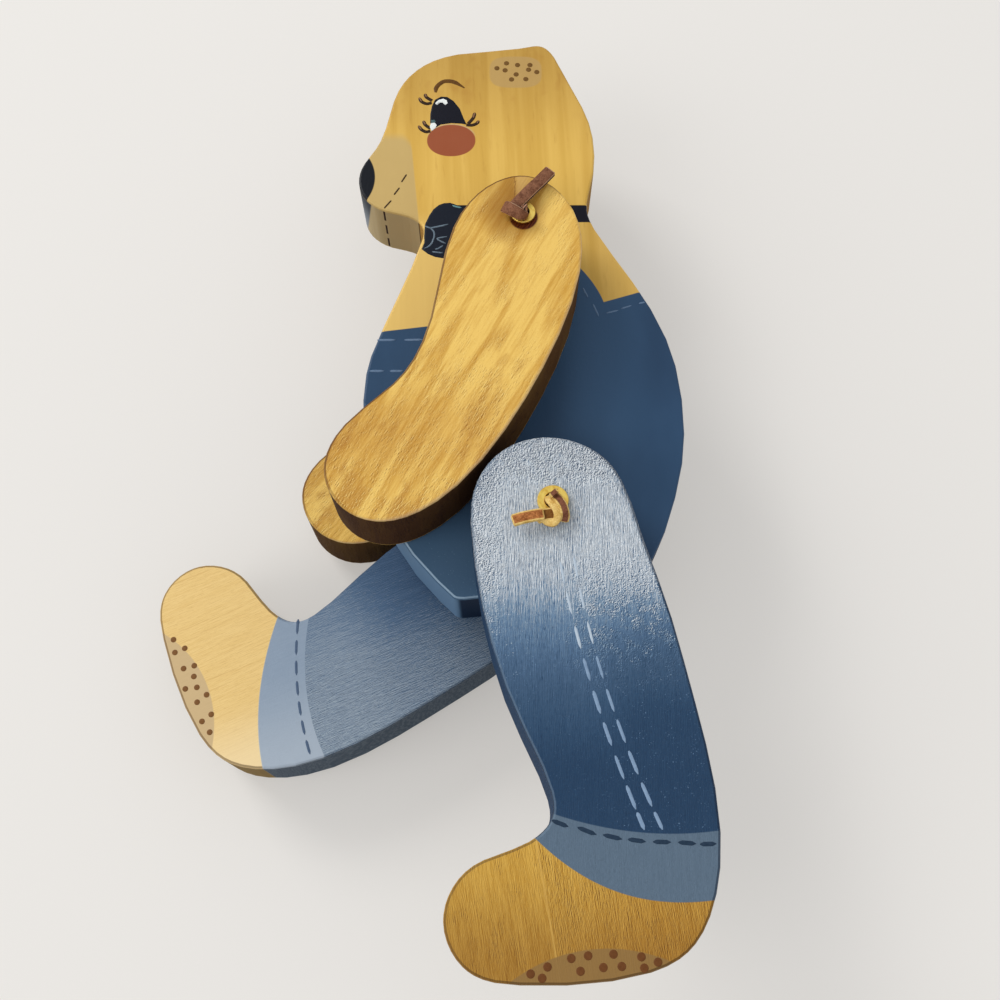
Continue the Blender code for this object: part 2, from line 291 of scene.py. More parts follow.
BODY_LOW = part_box("body_board")[0].z
BODY_HIGH_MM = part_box("body_board")[1].z * 1000
body_finish, body_shader, place = begin_finish("honey_body_with_overalls")
spot, x, y, z = from_pin(place, HIP)
wall = wall_of(z, BODY_LOW)
edge, glint, right, head = edge_of(place)
deep = BODY_HIGH_MM - z
broad = grain(spot, 2.0, 4.5, 80.0, 2.0, 0.5, 0.5)
narrow = grain(spot, 2.0, 0.9, 30.0, 3.0, 0.6, 0.2)
wisps = grain(spot, 3.0, 1.3, 9.0, 2.0)
cloud = grain(spot, 0.0, 6.0, 9.0, 2.0)
bands = fade(broad, 0.36, 0.64) * 0.55 + fade(narrow, 0.35, 0.70) * 0.15
colour = laid_over(bands, tint(231, 188, 96), tint(209, 163, 72))
colour = laid_over(fade(wisps, 0.58, 0.78) * 0.28, colour, tint(186, 136, 60))
colour = laid_over(fade(cloud, 0.50, 0.72) * fade(y, 114.0, 134.0) * 0.40, colour, tint(190, 132, 58))
# Painted shade: the head darkens towards its top.
colour = darker(colour, fade(y, 102.0, 143.0), (0.72, 0.68, 0.66, 1.0))
# Painted shade: the back of the chest is darker where the arm shades it, and the chest's front is lighter.
colour = darker(colour, fade(x, 8.0, 16.0) * fade(y, 98.0, 84.0), (0.96, 0.94, 1.0, 1.0))
colour = laid_over(fade(x, -2.0, -10.0) * fade(y, 90.0, 82.0) * 0.7, colour, tint(240, 202, 120))
colour = darker(colour, fade(x, 4.0, 22.0) * fade(y, 90.0, 100.0), (0.93, 0.93, 1.0, 1.0))

# The muzzle is a flat tan, with its edge carried straight down the sawn wall of the chin
muzzle_edge = x + y * 0.106 + 24.64
muzzle_top = y + ((x + 39.5) | 0.0) ** 2.0 * 0.30
muzzle = fade(muzzle_edge, 0.30, -0.20) * fade(muzzle_top, 115.0, 111.5) * fade(y, 85.0, 86.0)
muzzle_tan = laid_over(cloud, tint(195, 165, 106), tint(203, 173, 112))
colour = laid_over(muzzle * 0.92, colour, muzzle_tan)
chin = fade(y, 100.0, 98.0)
chin_tan = laid_over(fade(x, -44.5, -46.5), tint(184, 162, 120), tint(200, 178, 136))
colour = laid_over(wall * chin * muzzle, colour, chin_tan)
DASH_APART = 6.6
dash_start = 42.6 - z
dashes = fade(dash_start.sum("MODULO", dash_start, DASH_APART), 4.6, 4.2) * fade(z, 25.0, 25.6)
chin_dashes = fade(abs(x + 43.2), 0.34, 0.20) * dashes
chin_line = fade(abs(muzzle_edge), 0.22, 0.10) * 0.8
colour = laid_over(wall * chin * (chin_dashes | chin_line), colour, tint(52, 36, 22))

# The ear's lining and the cheek
EAR_MIDDLE, EAR_HALF = (-7.65, 134.7), (7.3, 5.3)
CHEEK_MIDDLE, CHEEK_HALF = (-25.4, 111.9), (6.6, 5.1)
ear_lining = fade(oval(x, y, EAR_MIDDLE, EAR_HALF, 3.2), 1.15, 0.85)
colour = laid_over(ear_lining * 0.80, colour, tint(186, 152, 96))
cheek = oval(x, y, CHEEK_MIDDLE, CHEEK_HALF, 2.1)
colour = laid_over(fade(cheek, 1.22, 1.06) * fade(y, 112.5, 115.5) * 0.45, colour, tint(190, 170, 150))
cheek_red = laid_over(cloud, tint(154, 82, 52), tint(158, 88, 60))
colour = laid_over(fade(cheek, 1.06, 0.96), colour, cheek_red)

# The nose is black on the face, and its paint runs down the wall to a point.
# There it is painted grey, paler towards the far face: a painted reflection of the floor in the glossy black.
NOSE_MIDDLE = (-58.25, 99.67)
NOSE_RADIUS = 12.35
nose = ((x - NOSE_MIDDLE[0]) ** 2.0 + (y - NOSE_MIDDLE[1]) ** 2.0) ** 0.5
nose_face = fade(nose, NOSE_RADIUS + 0.15, NOSE_RADIUS - 0.15)
colour = laid_over(nose_face * (1 - wall), colour, tint(29, 32, 37))
nose_wall = wall * fade(x + deep * 0.16, -46.4, -46.8) * fade(y, 108.0, 106.5) * fade(y, 83.0, 84.0)
nose_wall_reflection = laid_over(fade(deep, 0.0, 17.0), tint(66, 70, 76), tint(150, 156, 162))
colour = laid_over(nose_wall, colour, nose_wall_reflection)

# The overalls are blue paint up to the bib's edges and over the strap
front = x * 0.13 + 58.84
back = x * 0.31 + 57.25
STRAP_FOOT = 61.9
STRAP_WIDE = 9.0
strap_edge = 15.0 - (y - STRAP_FOOT) * 0.33 - (y - STRAP_FOOT) ** 2.0 * 0.025
strap_inner = strap_edge - STRAP_WIDE
strap = fade(x, strap_edge + 0.12, strap_edge - 0.12) * fade(x, strap_inner, strap_inner + 0.2)
strap = strap * fade(y, 84.0, 83.7)
denim = fade(y - (front | back), 0.12, -0.12) | (strap * fade(y, 57.0, 58.0))
cloth = grain(spot, 0.0, 10.0, 24.0, 2.0)
brush = grain(spot, 2.0, 0.6, 16.0, 2.0)
blue = laid_over(fade(cloth, 0.3, 0.7), tint(54, 78, 105), tint(58, 83, 111))
# Painted light: the denim beside the arm is painted lighter.
sheen = fade(x, 30.0, 12.0) * fade(x, 0.0, 10.0) * fade(y, 14.0, 28.0)
blue = laid_over(sheen * 0.8, blue, tint(66, 94, 124))
# Painted light: the belly is paler, with painted glint specks low on it.
blue = laid_over(fade(y, 14.0, -6.0) * fade(x, 6.0, -12.0) * 0.85, blue, tint(82, 110, 136))
specks = grain(spot, 0.0, 0.34, 0.34, 1.0)
blue = laid_over(fade(specks, 0.70, 0.78) * fade(y, 2.0, -12.0) * 0.5, blue, tint(150, 176, 196))
# Painted shade: the bib is darker at its top by the arm.
blue = darker(blue, fade(y, 26.0, 46.0) * fade(x, 20.0, 30.0), (0.80, 0.80, 0.82, 1.0))
# The belly's wall that faces left is painted light blue, a painted light, and the walls towards the feet dark
# blue, a painted shade.
blue = laid_over(wall * fade(x, -21.0, -23.0), blue, tint(108, 136, 164))
feet_end_shade = fade(x, -22.4, -21.2) * fade(y, 12.0, 4.0)
blue = laid_over(wall * feet_end_shade, blue, tint(22, 42, 62))
seat_glint = glint * fade(head + right * 0.6, -0.15, -0.45) * fade(y, 6.0, -3.0)
blue = laid_over(seat_glint * 0.8, blue, tint(166, 190, 208))
colour = laid_over(denim, colour, blue)
RIBBON_MIDDLE = 88.6
ribbon = fade(abs(y - RIBBON_MIDDLE), 2.75, 2.55) * fade(x, -24.5, -24.0)
colour = laid_over(ribbon, colour, tint(28, 30, 38))
painted = denim | ribbon | fade(nose, 12.55, 12.15)
bare = 1 - (painted | (muzzle * chin))
colour = darker(colour, wall * bare, (0.60, 0.50, 0.42, 1.0))
far_edge = edge * fade(head - right, 0.35, 0.90) * (1 - painted)
colour = laid_over(far_edge * 0.55, colour, tint(140, 98, 44))
peel = place.node("ShaderNodeTexNoise", None, {"Vector": spot, "Scale": 1.1, "Detail": 2.0})
height = (narrow * 0.4 + wisps * 0.3) * bare + (peel * 0.7 + brush * 0.3) * painted
feed(body_shader, Base_Color=colour, Roughness=0.46 - painted * 0.06 + (cloth - 0.5) * 0.1 + wall * 0.3,
     Normal=relief(place, height, 0.35, 0.00012))
body_shader.inputs["Specular IOR Level"].default_value = 0.2
put_on("body_board", body_finish)

# Arms
# Two 19 mm arms sawn from a coarser board, so that their grain runs slantwise and stands up a little.
# They are stained and varnished like the body, and their walls are painted nearly black,
# for the stain in the end grain and as painted shade, darkest at the left hand.


def arm_finish(name, turn, low, wall_tone, hand_tone):
    """Coarse honey wood, plain along the upper arm and more and more flecked towards the hand.

    The two tones darken the sawn walls of the upper arm and of the hand.
    """
    finish, shader, place = begin_finish(name)
    spot, x, y, z = from_pin(place, SHOULDER, turn)
    edge, glint, right, head = edge_of(place)
    bands = grain(spot, -28.0, 4.5, 45.0, 2.0, 0.5, 0.9)
    streaks = grain(spot, -29.0, 0.7, 9.0, 3.0, 0.6)
    ticks = ridges(spot, -31.0, 0.34, 1.5, 3.0, 0.7, 0.5)
    cloud = grain(spot, -20.0, 4.0, 6.0, 2.0)
    patches = grain(spot, -27.0, 5.0, 13.0, 3.0, 0.6)
    coarse = 0.24 + fade(y, -24.0, -62.0) * 0.34 + (cloud - 0.5) * 2.4 + (patches - 0.5) * 1.6
    coarse = (coarse | 0.04) & 0.95
    dark_bands = ((fade(bands, 0.38, 0.62) * 0.75 + (streaks - 0.5) * 1.8) & 1.0) | 0.0
    colour = laid_over(dark_bands, tint(240, 198, 106), tint(206, 154, 66))
    dark_patches = fade(patches, 0.50, 0.66) * (0.25 + fade(y, -30.0, -60.0) * 0.45)
    colour = laid_over(dark_patches, colour, tint(190, 136, 58))
    colour = laid_over(fade(ticks, 0.03, 0.24) * coarse, colour, tint(146, 96, 36))
    colour = laid_over(fade(ticks, -0.03, -0.24) * coarse, colour, tint(250, 218, 138))
    speckle = grain(spot, -29.0, 0.30, 0.55, 2.0, 0.7)
    colour = laid_over(fade(speckle, 0.55, 0.75) * 0.30, colour, tint(184, 130, 54))
    colour = laid_over(fade(speckle, 0.45, 0.25) * 0.25, colour, tint(250, 218, 142))
    worn = oval(x, y, (-2.6, 1.0), (7.0, 8.0))
    colour = laid_over(fade(worn, 2.0, 0.1) * (0.45 + bands * 0.5), colour, tint(156, 104, 40))
    colour = laid_over(fade(y, 4.0, 12.0) * (0.25 + bands * 0.5), colour, tint(176, 128, 58))
    dark_streak = fade(x, -1.5, -2.8) * fade(x, -6.5, -3.0) * fade(y, 4.0, 7.0)
    colour = laid_over(dark_streak * 0.45, colour, tint(158, 108, 40))
    pale_streak = fade(x, -2.5, -0.9) * fade(x, 3.4, 0.0) * fade(y, 3.5, 6.5)
    colour = laid_over(pale_streak * 0.40, colour, tint(226, 188, 120))
    crack = abs(x + 2.0 + (streaks - 0.5) * 2.2)
    colour = laid_over(fade(crack, 0.22, 0.05) * fade(y, 4.0, 6.0) * 0.55, colour, tint(110, 66, 26))
    # Painted shadow: a dark brown crescent on the arm round the washer's lower side, where the washer shades
    # it.
    washer_shadow = fade(oval(x, y, (0.15, -0.85), (3.75, 3.85)), 1.0, 0.76) * fade(y - x * 0.3, 1.6, -1.4)
    washer_shadow_brown = laid_over(fade(ticks, -0.1, 0.1), tint(104, 52, 28), tint(64, 28, 16))
    colour = laid_over(washer_shadow, colour, washer_shadow_brown)
    wrist = fade(y, -44.0, -58.0) * fade(y, -74.0, -60.0)
    colour = darker(colour, wrist * 0.6, (0.84, 0.75, 0.66, 1.0))
    # The eased edges facing right and towards the hand are painted pale, a painted highlight; those towards
    # the head are darker.
    colour = laid_over(edge * fade(right - head, 0.20, 0.80) * 0.6, colour, tint(226, 190, 150))
    colour = laid_over(edge * fade(head - right, 0.10, 0.60) * 0.75, colour, tint(110, 70, 28))
    colour = laid_over(glint * fade(head - right, -0.3, 0.4) * 0.7, colour, tint(92, 56, 24))
    wall_tone = laid_over(fade(y, -50.0, -68.0), wall_tone, hand_tone)
    wall = wall_of(z, low)
    colour = darker(colour, wall, wall_tone)
    height = streaks * 0.5 - ticks * coarse * 0.8
    feed(shader, Base_Color=colour, Roughness=0.42 + cloud * 0.12 + wall * 0.4,
         Normal=relief(place, height, 0.6, 0.0003))
    shader.inputs["Specular IOR Level"].default_value = 0.2
    return finish


# The arms' walls are painted nearly black, for end-grain stain and as painted shade.
STAIN_AND_SHADE_WALL = (0.155, 0.11, 0.07, 1.0)
RIGHT_ARM_TURN = 10.2
for name, turn, hand_tone in (("left_arm", 0.0, (0.085, 0.052, 0.03, 1.0)),
                              ("right_arm", RIGHT_ARM_TURN, (0.15, 0.11, 0.08, 1.0))):
    put_on(name, arm_finish(f"coarse_honey_{name}", turn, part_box(name)[0].z, STAIN_AND_SHADE_WALL, hand_tone))

# Legs
# Two 19 mm legs with bare stained feet, a tan pad on each sole, and a cuff and denim painted over the wood.
# The left one is brushed lengthwise with thick satin paint, and the light's reflection is painted on it as a
# pale sheen over the hip.
# The right one's paint is thinner and greyer, and shows the grain; it has a painted sheen as well, and painted
# shade by the body.


def ramp(level, *stops):
    """A colour that runs through paints as its level goes from 0 to 1."""
    return level.node("ShaderNodeValToRGB", {"stops": stops}, {0: level}, out="Color")


def left_denim(spot, x, y):
    """Thick satin paint brushed lengthwise, with a painted sheen, the light's reflection, pale over the hip
    and dark from the knee down.
    """
    fine = ridges(spot, 0.0, 0.15, 3.2, 3.0, 0.7)
    hairs = grain(spot, 0.0, 0.20, 1.8, 2.0)
    soft = grain(spot, 0.0, 0.9, 14.0, 2.0)
    curls = ridges(spot, 0.0, 0.34, 0.44, 2.0, 0.6, 1.2)
    specks = grain(spot, 0.0, 0.36, 0.36, 1.0)
    cloud = grain(spot, 0.0, 2.2, 3.0, 3.0, 0.65)
    mottle = grain(spot, 0.0, 0.8, 0.8, 3.0, 0.7)
    drift = (cloud - 0.5) * 34.0
    top_curls = fade(y + drift * 0.5, 3.0, 10.0)
    front_curls = fade(x + drift * 0.35, -9.0, -15.0) * fade(y, -70.0, -45.0)
    back_curls = fade(x + drift * 0.6, 0.0, 11.0) * fade(y, -50.0, -30.0) * fade(y + drift, -8.0, -22.0)
    curled = (top_curls | front_curls | back_curls) * fade(cloud, 0.32, 0.54)
    # Painted sheen: the level is how brightly the paint reflects the light, pale over the hip, dark from the
    # knee down and in painted shade at the back.
    painted_sheen = ((((y + 60.0) * (1 / 48.0)) & 1.0) | 0.0) ** 1.3 * 0.84
    front_sheen = fade(x, -8.0, -15.0) * fade(y, -45.0, -10.0) * 0.08
    back_sheen = fade(x, 4.0, 14.0) * fade(y, -22.0, -8.0) * 0.07
    back_shade = fade(x, 6.0, 20.0) * fade(y, -16.0, -32.0) * fade(y, -60.0, -45.0) * 0.12
    level = painted_sheen + front_sheen + back_sheen - back_shade + fade(y, -40.0, -16.0) * 0.07 + 0.02
    brushed = fine * 9.5 * (1 - curled * 0.6) * (1 - fade(y, -13.0, -27.0) * 0.68)
    curl_height = 11.0 + fade(y, -2.0, 7.0) * 16.0 - fade(y, -12.0, -26.0) * 8.0
    mottled = (mottle - 0.5) * (fade(y, -4.0, 8.0) * 1.3 + 0.55)
    ripple = brushed - fade(hairs, 0.56, 0.76) * 0.62 + (soft - 0.5) * 0.45
    ripple = ripple + curls * curl_height * curled + mottled + 0.04
    level = level + ripple * (level * 0.84 + 0.10)
    # Painted glints on the crests of the curls and on specks, with dark pits, over the sheen.
    crests = fade(curls, 0.05, 0.10) * 0.26 - fade(curls, -0.05, -0.10) * 0.12
    level = level + crests * curled * fade(cloud, 0.46, 0.62) * fade(y, -10.0, -24.0)
    pits = fade(specks, 0.60, 0.70) * 0.30 - fade(specks, 0.38, 0.28) * 0.55
    level = level + pits * fade(y, -6.0, 6.0)
    flecked = fade(cloud, 0.46, 0.62) * (fade(abs(x - 2.0), 5.0, 12.0) * 0.6 + 0.4)
    level = level + fade(specks, 0.64, 0.72) * fade(y, -16.0, -30.0) * flecked * 0.55
    top_rim = fade((x ** 2.0 + y ** 2.0) ** 0.5, 13.8, 16.8) * fade(y, -2.0, 5.0)
    back_rim = fade(x + y * 0.33, 16.2, 16.9) * fade(y, -60.0, -45.0)
    level = level - (top_rim | back_rim) * 0.48
    blue = ramp(level, (0.0, tint(43, 66, 93)), (0.13, tint(57, 83, 111)), (0.32, tint(74, 99, 126)),
                (0.42, tint(84, 110, 140)), (0.56, tint(102, 131, 160)), (0.74, tint(134, 157, 178)),
                (0.90, tint(171, 184, 194)), (1.0, tint(232, 235, 236)))
    return blue, 0.5 - fine * 1.5 - curls * curled * 2.0


def right_denim(spot, x, y):
    """Thinner paint that shows the wood's grain, with a painted sheen, paler towards the thigh's lower edge,
    and painted shade near the body.
    """
    fine = ridges(spot, 5.0, 0.15, 2.6, 3.0, 0.7)
    soft = grain(spot, 5.0, 1.4, 22.0, 2.0)
    # Painted sheen that grows paler towards the thigh's lower edge and towards the cuff, and painted shade
    # near the body.
    level = 0.30 + x * 0.0135 + fade(y, -42.0, -62.0) * 0.42 - fade(y, -34.0, -24.0) * 0.06
    level = (level | 0.0) + fine * (2.6 + fade(x, 2.0, 26.0) * 8.0) + (soft - 0.5) * 0.30
    blue = ramp(level, (0.0, tint(52, 74, 99)), (0.22, tint(66, 89, 118)), (0.50, tint(83, 108, 136)),
                (0.75, tint(101, 122, 146)), (1.0, tint(158, 170, 180)))
    return blue, 0.5 - fine * 1.5


def left_foot(spot, x, y):
    """Streaked wood that darkens towards the sole, plainer in front of one pale line than behind it."""
    streaks = grain(spot, 9.0, 0.26, 5.0, 3.0, 0.7)
    broad = grain(spot, 9.0, 2.6, 30.0, 2.0)
    flecks = ridges(spot, 10.0, 0.20, 2.4, 3.0, 0.7)
    patches = grain(spot, 8.0, 3.0, 6.0, 3.0, 0.6)
    behind = x + y * 0.167 + 16.9
    back = fade(behind, -0.3, 0.8)
    bands = fade(streaks, 0.34, 0.68) * 0.7 + fade(broad, 0.35, 0.65) * 0.3
    wood = laid_over(bands, tint(218, 172, 80), tint(186, 137, 52))
    flecked = (0.25 + back * 0.40 + fade(patches, 0.45, 0.68) * 0.60) & 1.0
    wood = laid_over(fade(flecks, 0.02, 0.13) * flecked, wood, tint(92, 50, 12))
    wood = laid_over(fade(flecks, -0.02, -0.15) * (0.65 + back * 0.35), wood, tint(240, 196, 100))
    wood = darker(wood, fade(y, -76.0, -101.0), (0.64, 0.56, 0.48, 1.0))
    wood = darker(wood, back * fade(x, -4.0, 24.0), (0.93, 0.88, 0.80, 1.0))
    pale_line = fade(abs(behind + 0.1), 0.32, 0.08)
    return laid_over(pale_line * 0.35, wood, tint(228, 184, 100)), streaks - flecks


def right_foot(spot, x, y):
    """Pale close wood with a few long darker lines."""
    streaks = grain(spot, 5.0, 0.35, 9.0, 3.0, 0.6)
    lines = grain(spot, 5.0, 0.7, 26.0, 2.0)
    nicks = ridges(spot, 5.0, 0.18, 2.6, 2.0)
    wood = laid_over(fade(streaks, 0.30, 0.74) * 0.55, tint(239, 204, 136), tint(226, 187, 115))
    wood = laid_over(fade(lines, 0.58, 0.72) * 0.45, wood, tint(204, 160, 90))
    wood = laid_over(fade(nicks, 0.04, 0.20) * 0.5, wood, tint(188, 144, 78))
    return laid_over(fade(x, 12.0, 30.0) * 0.8, wood, tint(246, 220, 170)), streaks


def leg_finish(name, pin, turn, low, look):
    """A leg's foot, sole pad, cuff and denim, one over the other, by the values of its look."""
    finish, shader, place = begin_finish(name)
    spot, x, y, z = from_pin(place, pin, turn)
    edge, glint, right, head = edge_of(place)
    wood, wood_height = look["foot"](spot, x, y)
    blue, blue_height = look["denim"](spot, x, y)
    start, slope, bend = look["cuff_top"]
    denim = fade(y - (x * slope + x ** 2.0 * bend + start), -0.12, 0.12)
    start, slope, bend, curl = look["cuff_foot"]
    cuff = fade(y - (x * slope + x ** 2.0 * bend + x ** 3.0 * curl + start), -0.12, 0.12)
    weave = grain(spot, look["brush_lean"], 0.35, 5.0, 3.0, 0.65)
    cuff_blue = laid_over(weave, *look["cuff"])
    # On the right leg the cuff is painted paler towards one end, a painted sheen.
    cuff_blue = laid_over(fade(x, *look["cuff_sheen_fade"]) * 0.8, cuff_blue, look["cuff_sheen"])
    pad_x, pad_y, pad_r = look["pad"]
    pad = fade(((x - pad_x) ** 2.0 + (y - pad_y) ** 2.0) ** 0.5, pad_r + 0.15, pad_r - 0.15)
    colour = laid_over(pad * 0.93, wood, look["pad_tan"])
    colour = laid_over(edge * (1 - cuff) * look["foot_rim"][0], colour, look["foot_rim"][1])
    colour = laid_over(glint * (1 - cuff) * 0.5, colour, tint(56, 38, 22))
    colour = laid_over(cuff, colour, cuff_blue)
    colour = laid_over(denim, colour, blue)
    # The denim's eased edges are painted dark on both sides, a painted shade, and a thin painted highlight
    # runs along the left edges.
    colour = laid_over(edge * cuff * fade(right, 0.0, 0.4) * 0.8, colour, look["dark_rim"])
    colour = laid_over(edge * cuff * fade(right, -0.1, -0.5) * 0.65, colour, look["dark_rim"])
    colour = laid_over(glint * cuff * fade(right, 0.0, -0.3) * look["glint"], colour, tint(150, 172, 192))
    wall = wall_of(z, low)
    colour = laid_over(wall * (1 - cuff), colour, look["wood_wall"])
    colour = laid_over(wall * cuff, colour, laid_over(fade(blue_height, 0.3, 0.8), *look["blue_wall"]))
    peel = place.node("ShaderNodeTexNoise", None, {"Vector": spot, "Scale": 1.25, "Detail": 2.0})
    height = wood_height * (1 - cuff) * 0.4 + (peel * look["peel"] + blue_height * 0.7) * cuff
    feed(shader, Base_Color=colour,
         Roughness=look["rough"] + (1 - cuff) * 0.12 + (weave - 0.5) * 0.08 + wall * 0.4,
         Normal=relief(place, height, look["relief"], 0.0003))
    shader.inputs["Specular IOR Level"].default_value = 0.2
    return finish


# The left cuff stays one blue and has no painted sheen, as its fade starts past its end
left_look = {
    "foot": left_foot, "denim": left_denim, "brush_lean": 0.0,
    "cuff_top": (-69.47, -0.3162, 0.006674), "cuff_foot": (-78.18, -0.7638, 0.020193, -0.0001322),
    "cuff": (tint(93, 111, 128), tint(104, 122, 139)), "cuff_sheen_fade": (60.0, 70.0),
    "cuff_sheen": tint(104, 122, 139),
    "pad": (9.7, -129.44, 33.89), "pad_tan": tint(146, 113, 67),
    "foot_rim": (0.20, tint(120, 84, 38)), "dark_rim": tint(28, 44, 64), "glint": 0.25,
    "wood_wall": tint(74, 58, 46), "blue_wall": (tint(38, 60, 88), tint(48, 74, 104)),
    "peel": 0.5, "rough": 0.34, "relief": 0.65,
}
right_look = {
    "foot": right_foot, "denim": right_denim, "brush_lean": 5.0,
    "cuff_top": (-66.71, -0.4776, 0.008897), "cuff_foot": (-76.23, -0.6497, 0.009054, 0.0),
    "cuff": (tint(138, 154, 172), tint(152, 166, 182)), "cuff_sheen_fade": (8.0, 34.0),
    "cuff_sheen": tint(178, 188, 198),
    "pad": (9.48, -123.73, 28.78), "pad_tan": tint(204, 176, 132),
    "foot_rim": (0.45, tint(160, 120, 64)), "dark_rim": tint(40, 54, 70), "glint": 0.0,
    "wood_wall": tint(150, 124, 80), "blue_wall": (tint(78, 90, 102), tint(104, 114, 124)),
    "peel": 0.25, "rough": 0.42, "relief": 0.45,
}

# The right leg's outline lies a little off its pin, for the slack in the lace
RIGHT_LEG_PIN = HIP + np.array([0.0022, 0.0040])
RIGHT_LEG_TURN = 70.2
for name, pin, turn, look in (("left_leg", HIP, 0.0, left_look),
                              ("right_leg", RIGHT_LEG_PIN, RIGHT_LEG_TURN, right_look)):
    put_on(name, leg_finish(f"denim_{name}", pin, turn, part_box(name)[0].z, look))

# Fine brushwork
# The stitches, dots, lashes and bow are dabs of craft paint from a fine brush, laid over the varnish.
# Each is a low mound that stands a hair above the face that carries it.
PROUD = 0.00007
SUNK = 0.00004


def smooth_line(points, fine=10):
    """A smooth line through a few points."""
    points = np.array(points, float)
    if len(points) == 2:
        return points[0] + (points[1] - points[0]) * np.linspace(0, 1, fine)[:, None]
    reach = np.vstack([2 * points[0] - points[1], points, 2 * points[-1] - points[-2]])
    line = []
    for before, start, end, after in zip(reach, reach[1:], reach[2:], reach[3:]):
        for t in np.arange(fine) / fine:
            line.append(0.5 * (2 * start + (end - before) * t
                               + (2 * before - 5 * start + 4 * end - after) * t**2
                               + (3 * start - before - 3 * end + after) * t**3))
    return np.array(line + [points[-1]])


def stroke(points, width, ends=(0.25, 0.25)):
    """Rows of four points across a brush stroke, which narrows to the given shares at its ends."""
    line = smooth_line(points)
    along = np.linspace(0, 1, len(line))
    swell = np.minimum(1.0, np.minimum(ends[0] + along * 4, ends[1] + (1 - along) * 4))
    ahead = np.gradient(line, axis=0)
    ahead /= np.linalg.norm(ahead, axis=1)[:, None]
    side = np.c_[-ahead[:, 1], ahead[:, 0]]
    rows = []
    for centre, off, share in zip(line, side, swell * width / 2):
        rows.append([(*(centre + off * share), 0), (*(centre + off * share * 0.6), 1),
                     (*(centre - off * share * 0.6), 1), (*(centre - off * share), 0)])
    return "strip", rows


def blob(outline, shares=(1.0, 0.93, 0.80)):
    """Rings of a filled shape, each a share of the outline's size, that rise towards its middle."""
    line = np.array(outline, float)
    middle = line.mean(0)
    rings = [[(*(middle + (point - middle) * share), level) for point in line]
             for share, level in zip(shares, (0, 0.8, 1))]
    return "rings", rings


def dot(centre, radius, sides=12):
    """A round dab."""
    turn = np.arange(sides) * 2 * math.pi / sides
    return blob(np.c_[centre[0] + radius * np.cos(turn), centre[1] + radius * np.sin(turn)])


def place_mm(points, pin, turn):
    """Points drawn in mm from a pin, turned with the board, in metres in the frame."""
    angle = math.radians(turn)
    spin = np.array([[math.cos(angle), -math.sin(angle)], [math.sin(angle), math.cos(angle)]])
    return np.array(points) @ spin.T / 1000 + pin


def brush_on(name, dabs, finish, body, pin, turn, face, up):
    """One mesh with all the dabs of one paint on one face of a board, at its height.

    up is 1 on a board's near face and -1 on its far one.
    """
    mesh = bmesh.new()
    for form, rows in dabs:
        made = []
        for row in rows:
            flat = place_mm([point[:2] for point in row], pin, turn)
            made.append([mesh.verts.new((*spot, face + up * (level * (PROUD + SUNK) - SUNK)))
                         for spot, (_, _, level) in zip(flat, row)])
        for one, two in zip(made, made[1:]):
            count = len(one)
            for i in range(count - 1 if form == "strip" else count):
                j = (i + 1) % count
                corners = (one[i], one[j], two[j], two[i])
                mesh.faces.new(corners if up > 0 else corners[::-1])
        if form == "rings":
            mesh.faces.new(made[-1] if up > 0 else made[-1][::-1])
    bmesh.ops.recalc_face_normals(mesh, faces=mesh.faces)
    data = bpy.data.meshes.new(name)
    mesh.to_mesh(data)
    mesh.free()
    flips = [polygon for polygon in data.polygons if polygon.normal.z * up < 0]
    if len(flips) > len(data.polygons) / 2:
        data.flip_normals()
    data.shade_smooth()
    piece = bpy.data.objects.new(name, data)
    bpy.context.scene.collection.objects.link(piece)
    data.materials.append(finish)
    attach(piece, body)


def dab_paint(name, thin, thick, roughness=0.4):
    """Craft paint with the light and dark of a brush's load."""
    finish, shader, place = begin_finish(name)
    spot = from_pin(place, HIP)[0]
    load = grain(spot, 0.0, 0.8, 0.8, 2.0)
    feed(shader, Base_Color=laid_over(load, thin, thick), Roughness=roughness + load * 0.15,
         Normal=relief(place, load, 0.3, 0.0001))
    shader.inputs["Specular IOR Level"].default_value = 0.2
    return finish


pale_thread = dab_paint("pale_blue_thread_paint", tint(92, 114, 142), tint(116, 138, 164))
upper_seam_paint = dab_paint("pale_upper_seam_paint", tint(166, 182, 198), tint(196, 206, 214))
lower_seam_paint = dab_paint("blue_lower_seam_paint", tint(112, 136, 164), tint(146, 168, 192))
soft_thread = dab_paint("soft_right_cuff_paint", tint(70, 88, 112), tint(92, 108, 130))
dark_thread = dab_paint("dark_thread_paint", tint(36, 50, 66), tint(52, 68, 86))
brown_dots = dab_paint("brown_dot_paint", tint(122, 78, 46), tint(96, 58, 32))
soft_dots = dab_paint("soft_brown_dot_paint", tint(136, 96, 58), tint(112, 74, 42))
pupil_black = dab_paint("pupil_black", tint(20, 25, 34), tint(24, 30, 40), 0.35)
eye_white = dab_paint("eye_light_white", tint(226, 230, 226), tint(244, 244, 238), 0.35)
eye_teal = dab_paint("eye_light_teal", tint(60, 84, 88), tint(92, 118, 118), 0.35)
lash_brown = dab_paint("lash_brown", tint(62, 44, 30), tint(46, 34, 26))
lash_tip = dab_paint("lash_tip_rose", tint(150, 110, 80), tint(136, 96, 66))
brow_brown = dab_paint("brow_brown", tint(118, 80, 34), tint(76, 50, 24))
mouth_brown = dab_paint("mouth_brown", tint(84, 64, 40), tint(64, 48, 32))
bow_navy = dab_paint("bow_navy", tint(25, 32, 42), tint(30, 36, 46))
bow_light = dab_paint("bow_light_lines", tint(88, 104, 116), tint(124, 138, 150))
bow_glint = dab_paint("bow_glint_teal", tint(96, 140, 142), tint(120, 158, 156))
ear_dots = dab_paint("ear_dot_paint", tint(126, 92, 48), tint(104, 72, 36))

